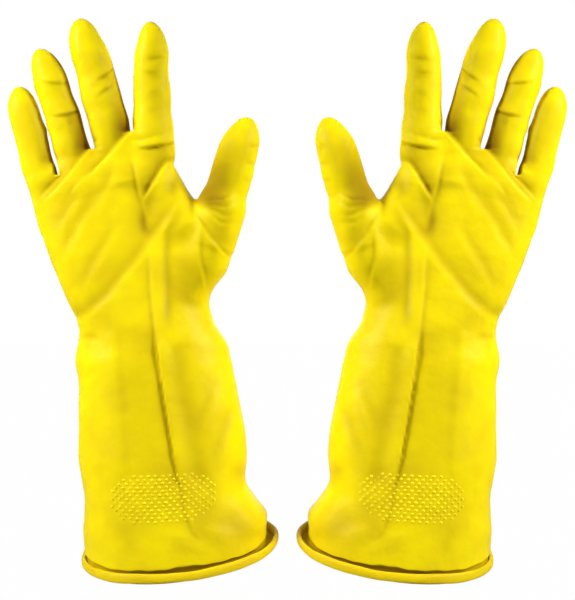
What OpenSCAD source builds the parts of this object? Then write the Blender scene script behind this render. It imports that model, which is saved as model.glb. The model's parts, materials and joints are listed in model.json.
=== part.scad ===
// A pair of long household rubber gloves, standing with the fingers up and the palms to the front.
// Millimetres. X runs from the right-hand glove to the left-hand glove, Y to the back, Z to the fingertips.
// The origin is the centre of the right-hand glove's cuff opening.
// Each glove is divided at its flexing creases, so that the wrist, the thumb and the fingers can bend.

/* [Wall] */
// thickness of the rubber wall
wall_t = 0.5; // [0.3:0.05:1]
// thickness of the flock lining inside the cuff
flock_t = 0.2; // [0.1:0.05:0.4]
// gap between two pieces at a flexing crease
crease_gap = 0.5; // [0.3:0.1:1]

/* [Cuff] */
// height of the wrist crease above the middle of the cuff opening
wrist_z = 124; // [115:1:135]
// half the thickness of the rolled bead
bead_r = 1.4; // [1:0.1:2.5]
// half the height of the rolled bead
bead_h = 2.6; // [1:0.1:4]
// how far the front of the opening dips for each millimetre towards the front
front_dip = 0.3; // [0:0.005:0.5]
// how far the opening rises for each millimetre towards the thumb
side_rise = 0.105; // [0:0.001:0.3]

/* [Grip patch] */
// radius of a stud at its foot
stud_r = 0.75; // [0.4:0.05:1]
// how far a stud stands out of the rubber
stud_h = 0.45; // [0.2:0.05:1]
// pitch of the studs in a row
stud_pitch = 3.9; // [3:0.1:6]
// pitch of the rows
row_pitch = 2; // [1.5:0.1:4]

/* [Hand] */
// height of the finger centre lines behind the origin
finger_y = 3; // [0:0.5:6]
// distance of the plane between the two gloves from the origin
mirror_x = 59; // [55:0.5:70]

/* [Hidden] */
ring_n = 40;
ball_n = 32;
soft_n = 16;
turn_n = 64;
// A finger: crease point x and z, lean, lengths of base, middle and tip, radii at the three creases, tip radius.
index_f = [-15.5, 226.6, -0.7, [22, 19, 23], [11, 10.4, 9.4], 7.2];
middle_f = [-38.2, 226.6, -15.2, [24, 21, 22.8], [11, 10.9, 10.3], 7.2];
ring_f = [-59.2, 218.4, -17.2, [21, 18, 21], [9.9, 9.7, 9.4], 6.8];
little_f = [-77.8, 208.5, -14.2, [16, 14, 17.4], [9, 9, 8.9], 6.2];
// The thumb has a base and a tip only.
thumb_f = [23.6, 190, 16.6, [24, 26], [12.4, 11.8], 7.8];
thumb_y = -4;
// The palm in slices from the wrist up: z, centre x, half width, half depth, centre y.
palm_slices = [
  [124.25, -18.2, 38.2, 24.5, 2],
  [139, -23.4, 40.2, 22, 2],
  [157, -29.5, 42, 19, 2],
  [178, -36.5, 42.2, 16.6, 3],
  [196, -40, 41.5, 14.6, 3],
  [206, -39, 34, 10.5, 3]
];
// The ball of the thumb, as spheres from the wrist up: x, y, z, radius.
thumb_balls = [
  [0, -1, 140, 16],
  [10.5, -3, 156, 15.5],
  [19, -4, 173, 14]
];
// The cuff in rows from the wrist down to the opening:
// z, centre x, centre y, half width, half depth, share of the opening's tilt.
cuff_rows = [
  [123.75, -18.2, 2, 38.2, 24.5, 0],
  [114, -15.4, 2, 40.6, 25.6, 0],
  [104, -15, 1.6, 42.6, 26.8, 0],
  [92, -13.4, 1.2, 43.2, 28, 0.05],
  [78, -11.6, 0.8, 44.2, 29.2, 0.12],
  [64, -10.2, 0.4, 45.2, 30.4, 0.22],
  [52, -9.8, 0, 45.6, 31.4, 0.34],
  [42, -9.8, 0, 45.2, 32.2, 0.46],
  [33, -8, 0, 46, 33.2, 0.58],
  [24, -5, 0, 48.4, 34.4, 0.72],
  [15, -3.2, 0, 49.8, 35.2, 0.86],
  [6, -2.5, 0, 49.8, 35.4, 0.96],
  [1, -2.4, 0, 49.8, 35.4, 1]
];
// The gutter outside the opening, from the wall to the bead.
gutter_rows = [
  [-0.6, -2, 0, 50.3, 35.9, 1],
  [-1.3, -1.3, 0, 51.2, 36.8, 1],
  [-1.2, -0.6, 0, 52, 37.6, 1],
  [-0.2, -0.2, 0, 52.8, 38.4, 1]
];
bead_row = [1, -0.2, 0, 52.8, 38.4, 1];
bead_sides = 10;
// The grip patch on the front of the cuff, in millimetres across and up.
patch_x = -7.6;
patch_z = 30.8;
patch_w = 58;
patch_h = 28;
patch_sink = 0.3;
rubber = [0.95, 0.84, 0.06];
deep = [0.86, 0.74, 0.06];
flock = [0.97, 0.93, 0.62];

// ---- Loops of ellipses, for the cuff, its lining and its bead ----

// A point of an elliptical row, lifted by its share of the opening's tilt.
function row_x(r, a) = r[1] + r[3] * cos(a);
function row_y(r, a) = r[2] + r[4] * sin(a);
function lift(x, y) = side_rise * x + front_dip * y;
function row_point(r, a) =
  [row_x(r, a), row_y(r, a), r[0] + r[5] * lift(row_x(r, a), row_y(r, a))];

// The same rows made smaller by d and moved up by dz.
function inset(rows, d, dz) = [for (r = rows) [r[0] + dz, r[1], r[2], r[3] - d, r[4] - d, r[5]]];
function backwards(rows) = [for (i = [len(rows) - 1:-1:0]) rows[i]];
function quad(i, j, m) = [
  i * ring_n + j,
  i * ring_n + (j + 1) % ring_n,
  ((i + 1) % m) * ring_n + (j + 1) % ring_n,
  ((i + 1) % m) * ring_n + j
];
function halves(q) = [[q[0], q[1], q[2]], [q[0], q[2], q[3]]];

// A closed ring skin over the rows, the last row joined to the first.
module ring_skin(rows) {
  points = [for (r = rows) for (j = [0:ring_n - 1]) row_point(r, j * 360 / ring_n)];
  faces = [for (i = [0:len(rows) - 1]) for (j = [0:ring_n - 1]) for (t = halves(quad(i, j, len(rows)))) t];
  polyhedron(points = points, faces = faces, convexity = 6);
}

module cuff_shell() {
  outer = concat(cuff_rows, inset(gutter_rows, 0, wall_t / 2));
  inner = concat(inset(cuff_rows, wall_t, 0), inset(gutter_rows, 0, -wall_t / 2));
  ring_skin(concat(outer, backwards(inner)));
}

module lining_shell() {
  kept = [for (i = [1:len(cuff_rows) - 2]) cuff_rows[i]];
  gap = wall_t + 0.05;
  ring_skin(concat(inset(kept, gap, 0), backwards(inset(kept, gap + flock_t, 0))));
}

module bead_ring() {
  rows = [
    for (k = [0:bead_sides - 1])
      let (a = -k * 360 / bead_sides)
        [
          bead_row[0] + bead_h * sin(a), bead_row[1], bead_row[2],
          bead_row[3] + bead_r * cos(a), bead_row[4] + bead_r * cos(a), 1
        ]
  ];
  ring_skin(rows);
}

// ---- Grip patch ----

function mix(a, b, t) = a * (1 - t) + b * t;
// The cuff's row at a height of the middle of its front.
function front_z(r) = r[0] + r[5] * lift(r[1], r[2] - r[4]);
function row_between(z, i = 0) =
  (i >= len(cuff_rows) - 2 || front_z(cuff_rows[i + 1]) <= z)
    ? mix(cuff_rows[i], cuff_rows[i + 1], (front_z(cuff_rows[i]) - z) / (front_z(cuff_rows[i]) - front_z(cuff_rows[i + 1])))
    : row_between(z, i + 1);
// Angle round the row at which the front reaches across to x.
function front_angle(r, x) = -acos((x - r[1]) / r[3]);
function in_patch(x, z) =
  pow(abs(x - patch_x) / (patch_w / 2), 2.2) + pow(abs(z - patch_z) / (patch_h / 2), 2.2) < 1;

module stud(x, z) {
  r = row_between(z);
  a = front_angle(r, x);
  p = row_point(r, a);
  turn = atan2(sin(a) / r[4], cos(a) / r[3]);
  translate(p)
    rotate([0, 0, turn])
      rotate([0, 90, 0])
        translate([0, 0, -patch_sink])
          cylinder(r1 = stud_r, r2 = stud_r * 0.55, h = stud_h + patch_sink, $fn = 16);
}

module stud_field() {
  rows = floor(patch_h / row_pitch / 2);
  cols = floor(patch_w / stud_pitch / 2) + 1;
  for (i = [-rows:rows]) {
    for (j = [-cols:cols]) {
      x = patch_x + j * stud_pitch + (i % 2 == 0 ? 0 : stud_pitch / 2);
      z = patch_z + i * row_pitch;
      if (in_patch(x, z)) stud(x, z);
    }
  }
}

// ---- Fingers ----

// Puts what follows on a finger's centre line, d millimetres above its first crease.
module on_finger(f, y, d) {
  translate([f[0], y, f[1]]) rotate([0, f[2], 0]) translate([0, 0, d]) children();
}

// One open length of a finger.
module tube(r1, r2, h) {
  rotate_extrude($fn = turn_n)
    polygon([[r1 - wall_t, 0], [r1, 0], [r2, h], [r2 - wall_t, h]]);
}

// A fingertip: side curve from radius r1 into an end of radius about r2.
function tip_curve(r1, r2, h, n = 14) = [
  for (i = [0:n])
    let (a = 90 * i / n)
      [r1 * pow(cos(a), 2 * (1 - 0.62 * r2 / r1)), h * (1 - 0.08 * cos(a)) * sin(a)]
];

module fingertip(r1, r2, h) {
  outer = tip_curve(r1, r2, h);
  inner = tip_curve(r1 - wall_t, r2 - wall_t, h - wall_t);
  rotate_extrude($fn = turn_n)
    polygon(concat(outer, backwards(inner)));
}

function crease(f, i) = i == 0 ? 0 : f[3][i - 1] + crease(f, i - 1);

module length_of(f, y, i) {
  h = f[3][i] - crease_gap;
  on_finger(f, y, crease(f, i) + crease_gap / 2) {
    if (i < len(f[3]) - 1) tube(f[4][i], f[4][i + 1], h);
    else fingertip(f[4][i], f[5], h + crease_gap / 2);
  }
}

// ---- Hand ----

module slice(s, d, dz = 0) {
  translate([s[1], s[4], s[0] + dz])
    scale([s[2] - d, s[3] - d, 1])
      cylinder(r = 1, h = 0.02, center = true, $fn = ball_n);
}

// A round length of the hand that carries a finger, from the palm to the crease.
module socket(f, y, d, reach, deep_z, stretch = 1.6) {
  hull() {
    on_finger(f, y, -crease_gap / 2 + reach - 0.02)
      cylinder(r = f[4][0] - d, h = 0.02, $fn = ball_n);
    on_finger(f, y, -deep_z)
      scale([1, 1, stretch]) sphere(r = f[4][0] + 0.6 - d, $fn = soft_n);
  }
}

// The web between two neighbouring fingers.
module web(f, g, d, drop) {
  hull() {
    on_finger(f, finger_y, -drop - 9) sphere(r = 8.5 - d, $fn = soft_n);
    on_finger(g, finger_y, -drop - 9) sphere(r = 8.5 - d, $fn = soft_n);
    on_finger(f, finger_y, -drop - 22) sphere(r = 12 - d, $fn = soft_n);
    on_finger(g, finger_y, -drop - 22) sphere(r = 12 - d, $fn = soft_n);
  }
}

module ball(b, d) {
  translate([b[0], b[1], b[2]]) sphere(r = b[3] - d, $fn = soft_n);
}

// The hand as a solid, made smaller by d and longer by reach at each opening.
module hand_solid(d, reach) {
  hull() {
    slice(palm_slices[0], d);
    translate([0, 0, -reach]) slice(palm_slices[0], d);
  }
  for (i = [0:len(palm_slices) - 2]) {
    hull() {
      slice(palm_slices[i], d);
      slice(palm_slices[i + 1], d, i == len(palm_slices) - 2 ? -d : 0);
    }
  }
  socket(index_f, finger_y, d, reach, 22);
  socket(middle_f, finger_y, d, reach, 22);
  socket(ring_f, finger_y, d, reach, 18);
  socket(little_f, finger_y, d, reach, 15, 1);
  web(index_f, middle_f, d, 4);
  web(middle_f, ring_f, d, 4);
  web(ring_f, little_f, d, 5);
  for (i = [0:len(thumb_balls) - 2]) {
    hull() {
      ball(thumb_balls[i], d);
      ball(thumb_balls[i + 1], d);
    }
  }
  hull() {
    ball(thumb_balls[2], d);
    on_finger(thumb_f, thumb_y, -crease_gap / 2 + reach - 0.02)
      cylinder(r = thumb_f[4][0] - d, h = 0.02, $fn = ball_n);
  }
  hull() {
    ball(thumb_balls[1], d);
    ball(thumb_balls[2], d);
    translate([-6, 1, 190]) sphere(r = 12 - d, $fn = soft_n);
    translate([5, -1, 185]) sphere(r = 8 - d, $fn = soft_n);
  }
}

module hand_shell() {
  difference() {
    hand_solid(0, 0);
    hand_solid(wall_t, 1);
  }
}

// ---- The right-hand glove ----

module right_cuff() { color(rubber) cuff_shell(); }
module right_cuff_lining() { color(flock) lining_shell(); }
module right_rolled_bead() { color(deep) bead_ring(); }
module right_grip_studs() { color(rubber) stud_field(); }
module right_hand() { color(rubber) hand_shell(); }
module right_thumb_base() { color(rubber) length_of(thumb_f, thumb_y, 0); }
module right_thumb_tip() { color(rubber) length_of(thumb_f, thumb_y, 1); }
module right_index_base() { color(rubber) length_of(index_f, finger_y, 0); }
module right_index_middle() { color(rubber) length_of(index_f, finger_y, 1); }
module right_index_tip() { color(rubber) length_of(index_f, finger_y, 2); }
module right_middle_base() { color(rubber) length_of(middle_f, finger_y, 0); }
module right_middle_middle() { color(rubber) length_of(middle_f, finger_y, 1); }
module right_middle_tip() { color(rubber) length_of(middle_f, finger_y, 2); }
module right_ring_base() { color(rubber) length_of(ring_f, finger_y, 0); }
module right_ring_middle() { color(rubber) length_of(ring_f, finger_y, 1); }
module right_ring_tip() { color(rubber) length_of(ring_f, finger_y, 2); }
module right_little_base() { color(rubber) length_of(little_f, finger_y, 0); }
module right_little_middle() { color(rubber) length_of(little_f, finger_y, 1); }
module right_little_tip() { color(rubber) length_of(little_f, finger_y, 2); }

// ---- The left-hand glove, a mirror image ----

module mirrored() { translate([2 * mirror_x, 0, 0]) mirror([1, 0, 0]) children(); }
module left_cuff() { mirrored() right_cuff(); }
module left_cuff_lining() { mirrored() right_cuff_lining(); }
module left_rolled_bead() { mirrored() right_rolled_bead(); }
module left_grip_studs() { mirrored() right_grip_studs(); }
module left_hand() { mirrored() right_hand(); }
module left_thumb_base() { mirrored() right_thumb_base(); }
module left_thumb_tip() { mirrored() right_thumb_tip(); }
module left_index_base() { mirrored() right_index_base(); }
module left_index_middle() { mirrored() right_index_middle(); }
module left_index_tip() { mirrored() right_index_tip(); }
module left_middle_base() { mirrored() right_middle_base(); }
module left_middle_middle() { mirrored() right_middle_middle(); }
module left_middle_tip() { mirrored() right_middle_tip(); }
module left_ring_base() { mirrored() right_ring_base(); }
module left_ring_middle() { mirrored() right_ring_middle(); }
module left_ring_tip() { mirrored() right_ring_tip(); }
module left_little_base() { mirrored() right_little_base(); }
module left_little_middle() { mirrored() right_little_middle(); }
module left_little_tip() { mirrored() right_little_tip(); }

right_cuff();
right_cuff_lining();
right_rolled_bead();
right_grip_studs();
right_hand();
right_thumb_base();
right_thumb_tip();
right_index_base();
right_index_middle();
right_index_tip();
right_middle_base();
right_middle_middle();
right_middle_tip();
right_ring_base();
right_ring_middle();
right_ring_tip();
right_little_base();
right_little_middle();
right_little_tip();
left_cuff();
left_cuff_lining();
left_rolled_bead();
left_grip_studs();
left_hand();
left_thumb_base();
left_thumb_tip();
left_index_base();
left_index_middle();
left_index_tip();
left_middle_base();
left_middle_middle();
left_middle_tip();
left_ring_base();
left_ring_middle();
left_ring_tip();
left_little_base();
left_little_middle();
left_little_tip();
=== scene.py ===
# A pair of household rubber gloves: one soft skin with its folds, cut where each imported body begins.
import json
import math
import bpy
import bmesh
import numpy as np
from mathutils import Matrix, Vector


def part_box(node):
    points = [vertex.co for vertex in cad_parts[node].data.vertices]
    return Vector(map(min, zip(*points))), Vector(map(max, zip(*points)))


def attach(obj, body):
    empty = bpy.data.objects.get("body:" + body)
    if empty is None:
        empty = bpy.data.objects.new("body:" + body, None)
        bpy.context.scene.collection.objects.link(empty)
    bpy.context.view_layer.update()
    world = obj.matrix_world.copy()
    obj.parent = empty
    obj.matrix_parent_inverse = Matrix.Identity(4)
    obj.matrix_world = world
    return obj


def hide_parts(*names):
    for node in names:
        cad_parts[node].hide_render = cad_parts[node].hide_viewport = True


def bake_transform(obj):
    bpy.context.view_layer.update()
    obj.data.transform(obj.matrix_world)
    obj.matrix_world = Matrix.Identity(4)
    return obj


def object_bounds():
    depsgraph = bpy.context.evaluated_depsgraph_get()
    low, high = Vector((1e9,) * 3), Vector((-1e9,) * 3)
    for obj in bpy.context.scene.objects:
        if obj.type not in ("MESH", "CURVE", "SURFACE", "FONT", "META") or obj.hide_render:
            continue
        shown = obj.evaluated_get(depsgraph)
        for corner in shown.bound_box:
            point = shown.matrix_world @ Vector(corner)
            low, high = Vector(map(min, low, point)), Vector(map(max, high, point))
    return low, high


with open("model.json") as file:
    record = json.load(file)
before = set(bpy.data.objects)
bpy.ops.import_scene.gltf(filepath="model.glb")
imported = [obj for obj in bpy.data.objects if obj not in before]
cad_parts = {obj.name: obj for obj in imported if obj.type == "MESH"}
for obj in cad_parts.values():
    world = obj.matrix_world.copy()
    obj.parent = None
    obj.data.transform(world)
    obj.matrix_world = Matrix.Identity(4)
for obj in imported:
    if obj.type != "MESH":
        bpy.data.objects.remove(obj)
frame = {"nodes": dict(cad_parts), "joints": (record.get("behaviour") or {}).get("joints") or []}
cad_lo, cad_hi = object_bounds()
MM = 1000.0  # the skin is worked out in millimetres and stored in metres
STEP = 1.0  # grid of the skin
WALL = 0.55  # thickness of the rubber
LINING_NEAR, LINING_FAR = 0.08, 0.36  # the two faces of the flock, behind the wall
LINING_FROM = 6  # height above the opening where the flock begins
FRONT_DIP, SIDE_RISE = 0.30, 0.105  # how the cuff's opening leans


# ---- The skeleton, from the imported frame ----

JOINTS = {j["name"]: np.array(j["pos_m"], float) * MM for j in frame["joints"] if "pos_m" in j}


def box_mm(node):
    lo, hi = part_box(node)
    return np.array(lo) * MM, np.array(hi) * MM


MIRROR_X = (box_mm("right_cuff")[0][0] + box_mm("left_cuff")[1][0]) / 2


def unit(v):
    return v / np.linalg.norm(v)


class Finger:
    """A finger's straight centre line, the places of its creases along it and its radii."""

    def __init__(self, name, parts, turn=0.0):
        boxes = [box_mm(f"right_{name}_{p}") for p in parts]
        self.name, self.parts = name, parts
        self.radii = [(hi[1] - lo[1]) / 2 for lo, hi in boxes]
        knots = [JOINTS[f"right_{name}_{p}_flex"] for p in parts]
        self.dir = unit((knots[1] - knots[0]) * [1, 0, 1])
        for _ in range(3):
            self.side = np.array([self.dir[2], 0, -self.dir[0]])
            self.palm = -math.sin(turn) * self.side - math.cos(turn) * np.array([0, 1.0, 0])
            centres = [k - r * self.palm for k, r in zip(knots, self.radii)]
            self.dir = unit((centres[-1] - centres[0]) * [1, 0, 1])
        self.start = centres[0]
        self.at = [float((c - self.start) @ self.dir) for c in centres]
        self.end = float((boxes[-1][1][2] - self.start[2]) / self.dir[2])

    def local(self, p):
        q = p - self.start
        return q @ self.dir, q @ self.side, q[..., 1]


THREE = ("base", "middle", "tip")
INDEX, MIDDLE = Finger("index", THREE), Finger("middle", THREE)
RING, LITTLE = Finger("ring", THREE), Finger("little", THREE)
THUMB = Finger("thumb", ("base", "tip"), math.radians(20))
FINGERS = (INDEX, MIDDLE, RING, LITTLE, THUMB)


# ---- The shape as a distance field ----

def curve(xs, ys):
    """A smooth curve through the points, as a function."""
    xs, ys = np.array(xs, float), np.array(ys, float)
    m = np.gradient(ys, xs)
    fine = np.linspace(xs[0], xs[-1], 400)
    i = np.clip(np.searchsorted(xs, fine, side="right") - 1, 0, len(xs) - 2)
    h = xs[i + 1] - xs[i]
    t = (fine - xs[i]) / h
    out = (
        (2 * t**3 - 3 * t**2 + 1) * ys[i] + (t**3 - 2 * t**2 + t) * h * m[i]
        + (3 * t**2 - 2 * t**3) * ys[i + 1] + (t**3 - t**2) * h * m[i + 1]
    )
    return lambda x: np.interp(x, fine, out)


def smooth_min(a, b, k):
    h = np.maximum(k - np.abs(a - b), 0) / k
    return np.minimum(a, b) - h * h * k / 4


def ramp(x, a, b):
    t = np.clip((x - a) / (b - a), 0, 1)
    return t * t * (3 - 2 * t)


# height above the opening, centre x, centre y, half width, half depth, squareness
SECTIONS = (
    (-12, -2.4, 0, 50.0, 35.8, 2.0),
    (1, -2.4, 0, 49.9, 35.6, 2.0),
    (8, -2.6, 0, 50.0, 35.4, 2.0),
    (15, -2.8, 0, 50.4, 35.2, 2.0),
    (24, -5.4, 0, 47.4, 34.4, 2.0),
    (33, -7.8, 0, 44.8, 33.2, 2.05),
    (42, -8.6, 0, 45.4, 32.2, 2.05),
    (52, -9.4, 0, 46.1, 31.4, 2.05),
    (64, -9.9, 0.4, 45.7, 30.4, 2.05),
    (78, -11.2, 0.8, 44.6, 29.2, 2.05),
    (92, -12.7, 1.2, 43.2, 28.0, 2.05),
    (104, -14.8, 1.6, 42.8, 26.8, 2.1),
    (114, -15.3, 2, 40.7, 25.4, 2.1),
    (124, -18.4, 2, 37.4, 24.2, 2.15),
    (134, -22.4, 2, 38.6, 22.6, 2.2),
    (146, -26.4, 2, 39.8, 20.6, 2.3),
    (160, -30.6, 2, 41.2, 18.6, 2.35),
    (178, -36.2, 2.8, 41.2, 16.6, 2.4),
    (194, -39.2, 3, 40.6, 14.8, 2.5),
    (204, -40.5, 3, 40.5, 13.4, 2.5),
)
SEC = [curve([s[0] for s in SECTIONS], [s[i] for s in SECTIONS]) for i in range(1, 6)]
TILT = curve((-12, 1, 15, 33, 52, 78, 104, 124, 210), (1, 1, 0.86, 0.58, 0.34, 0.12, 0.01, 0, 0))
PALM_TOP, PALM_CAP = 199.0, 17.0


def lift(p):
    return SIDE_RISE * p[..., 0] + FRONT_DIP * p[..., 1]


def height(p):
    """Height above the leaning opening, which is the plain height from the wrist up."""
    z = p[..., 2].copy()
    for _ in range(5):
        z = p[..., 2] - TILT(z) * lift(p)
    return z


def sleeve_field(p):
    z = height(p)
    cx, cy, a, b, n = (f(z) for f in SEC)
    cap = np.clip((z - PALM_TOP) / PALM_CAP, 0, 1)
    g = (np.abs((p[..., 0] - cx) / a) ** n + np.abs((p[..., 1] - cy) / b) ** n) ** (1 / n)
    g = np.sqrt(g * g + cap * cap)
    far = np.maximum(z - PALM_TOP - PALM_CAP, 0)
    slope = np.hypot((p[..., 0] - cx) / a**2, (p[..., 1] - cy) / b**2) / np.maximum(g, 1e-6)
    return np.clip((g - 1) / np.maximum(slope, 0.012), -12, 40) + far


def finger_field(p, f, bend, flat=1.0, deep=26.0, root=1.0):
    """bend: the tip's shift sideways. flat: depth over width. root: radius at the deep end over the base's."""
    t, u, v = f.local(p)
    last = f.at[-1]
    length = f.end - last
    u = u - bend * ramp(t, last - 4, f.end + 2) - 0.25 * np.sin(t * 0.21 + f.start[0])
    radius = np.interp(t, [-deep, 0] + f.at[1:], [f.radii[0] * root] + f.radii)
    radius = radius * (1 + 0.012 * np.sin(t * 0.33 + 1.3 * f.start[2]))
    s = np.clip((t - last) / length, 0, None)
    rho = np.sqrt(u * u + (v / flat) ** 2)
    return (np.sqrt((rho / radius) ** 2 + s * s) - 1) * radius + np.maximum(-deep - t, 0)


def cone_field(p, a, b, ra, rb):
    """A round cone from a to b."""
    a, b = np.array(a, float), np.array(b, float)
    d = b - a
    t = np.clip((p - a) @ d / (d @ d), 0, 1)
    return np.linalg.norm(p - a - t[..., None] * d, axis=-1) - (ra + (rb - ra) * t)


def slot_between(a, b, z, web, width=2.0):
    """Positive in the narrow gap between two neighbouring fingers, above their web."""
    return np.minimum(width - np.abs(a - b), z - web) * 0.5


def field(p):
    z = p[..., 2]
    i = finger_field(p, INDEX, 0.0, 0.95)
    m = finger_field(p + [-0.7, 0, 0], MIDDLE, -1.0, 0.95)
    r = finger_field(p, RING, -1.2, 0.95)
    l = finger_field(p, LITTLE, -0.6, 0.95, 34.0, 0.45)
    four = np.minimum(np.minimum(i, m), np.minimum(r, l))
    webs = ((i, m, 229.5), (m, r, 220.0), (r, l, 205.5))
    for a, b, web in webs:
        four = np.minimum(four, np.maximum(smooth_min(a, b, 12.0), z - web))
    body = smooth_min(sleeve_field(p), four, 8.0)
    for a, b, web in webs:
        body = np.maximum(body, slot_between(a, b, z, web))
    t = finger_field(p, THUMB, 0.2, 1.0, 24.0, 0.9) + 0.4
    ball = smooth_min(
        np.minimum(cone_field(p, (-7, 3, 110), (-1, 1, 139), 9.0, 14.0),
                   cone_field(p, (-1, 1, 139), (11, -1, 160), 14.0, 14.2)),
        cone_field(p, (11, -1, 160), THUMB.start - THUMB.dir * 5, 15.2, THUMB.radii[0] + 0.4), 6.0)
    web = cone_field(p, (-11, 1, 202), (4, -2, 177), 9.8, 12.2)
    thumb = smooth_min(smooth_min(t, ball, 6.0), web, 3.5)
    return smooth_min(body, thumb, 4.0 + 6.0 * ramp(-z, -192, -174) * ramp(z, 126, 156))


def gradient(f, p, e=0.05):
    g = np.empty_like(p)
    for k in range(3):
        d = np.zeros(3)
        d[k] = e
        g[..., k] = (f(p + d) - f(p - d)) / (2 * e)
    return g


# ---- From the field to a skin ----

def grid_values(lo, hi, step):
    """The field on a grid: coarse everywhere, exact near the skin."""
    n = [int(math.ceil((hi[k] - lo[k]) / step)) + 1 for k in range(3)]
    axes = [lo[k] + step * np.arange(n[k]) for k in range(3)]
    every = 4
    coarse_axes = [a[::every] for a in axes]
    coarse = field(np.stack(np.meshgrid(*coarse_axes, indexing="ij"), -1))
    fine = coarse
    for k in range(3):
        fine = np.repeat(fine, every, axis=k)
    fine = fine[: n[0], : n[1], : n[2]]
    pad = [(0, n[k] - fine.shape[k]) for k in range(3)]
    fine = np.pad(fine, pad, mode="edge").astype(np.float64)
    near = np.abs(fine) < step * every * 2.6
    idx = np.argwhere(near)
    pts = np.stack([axes[k][idx[:, k]] for k in range(3)], -1)
    fine[near] = field(pts)
    return fine, axes


def surface_net(values, axes, step):
    """One vertex in each crossed cell and one quad over each crossed edge."""
    inside = values < 0
    n = values.shape
    total = np.zeros((n[0] - 1, n[1] - 1, n[2] - 1, 3))
    count = np.zeros((n[0] - 1, n[1] - 1, n[2] - 1))
    crossings = []
    for k in range(3):
        a = [slice(None)] * 3
        b = [slice(None)] * 3
        a[k], b[k] = slice(0, -1), slice(1, None)
        va, vb = values[tuple(a)], values[tuple(b)]
        cross = (va < 0) != (vb < 0)
        idx = np.argwhere(cross)
        t = va[cross] / (va[cross] - vb[cross])
        at = idx.astype(float)
        at[:, k] += t
        crossings.append((k, idx, inside[tuple(a)][cross]))
        o1, o2 = [x for x in range(3) if x != k]
        for d1 in (0, 1):
            for d2 in (0, 1):
                cell = idx.copy()
                cell[:, o1] -= d1
                cell[:, o2] -= d2
                ok = ((cell >= 0) & (cell < np.array(count.shape))).all(1)
                key = tuple(cell[ok].T)
                np.add.at(total, key, at[ok])
                np.add.at(count, key, 1)
    used = count > 0
    number = -np.ones(count.shape, int)
    number[used] = np.arange(used.sum())
    origin = np.array([a[0] for a in axes])
    verts = origin + total[used] / count[used][:, None] * step
    quads = []
    for k, idx, first_inside in crossings:
        o1, o2 = [(1, 2), (2, 0), (0, 1)][k]
        corners = []
        for d1, d2 in ((0, 0), (1, 0), (1, 1), (0, 1)):
            cell = idx.copy()
            cell[:, o1] -= d1
            cell[:, o2] -= d2
            corners.append(cell)
        ok = np.all([((c >= 0) & (c < np.array(count.shape))).all(1) for c in corners], axis=0)
        q = np.stack([number[tuple(c[ok].T)] for c in corners], 1)
        flip = ~first_inside[ok]
        q[flip] = q[flip][:, ::-1]
        quads.append(q)
    return verts, np.concatenate(quads)


def relax(verts, quads, rounds):
    """Evens the quads out and puts each vertex back on the skin."""
    edges = np.concatenate([quads[:, [0, 1]], quads[:, [1, 2]], quads[:, [2, 3]], quads[:, [3, 0]]])
    for _ in range(rounds):
        total = np.zeros_like(verts)
        count = np.zeros(len(verts))
        for a, b in ((0, 1), (1, 0)):
            np.add.at(total, edges[:, a], verts[edges[:, b]])
            np.add.at(count, edges[:, a], 1)
        verts = verts + 0.5 * (total / count[:, None] - verts)
        for _ in range(2):
            g = gradient(field, verts)
            verts = verts - (field(verts) / np.maximum((g * g).sum(1), 0.2))[:, None] * g
    return verts


def vertex_normals(verts, quads):
    a, b, c, d = (verts[quads[:, k]] for k in range(4))
    n = np.cross(c - a, d - b)
    out = np.zeros_like(verts)
    for k in range(4):
        np.add.at(out, quads[:, k], n)
    return out / np.maximum(np.linalg.norm(out, axis=1), 1e-9)[:, None]


# ---- Folds ----

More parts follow.
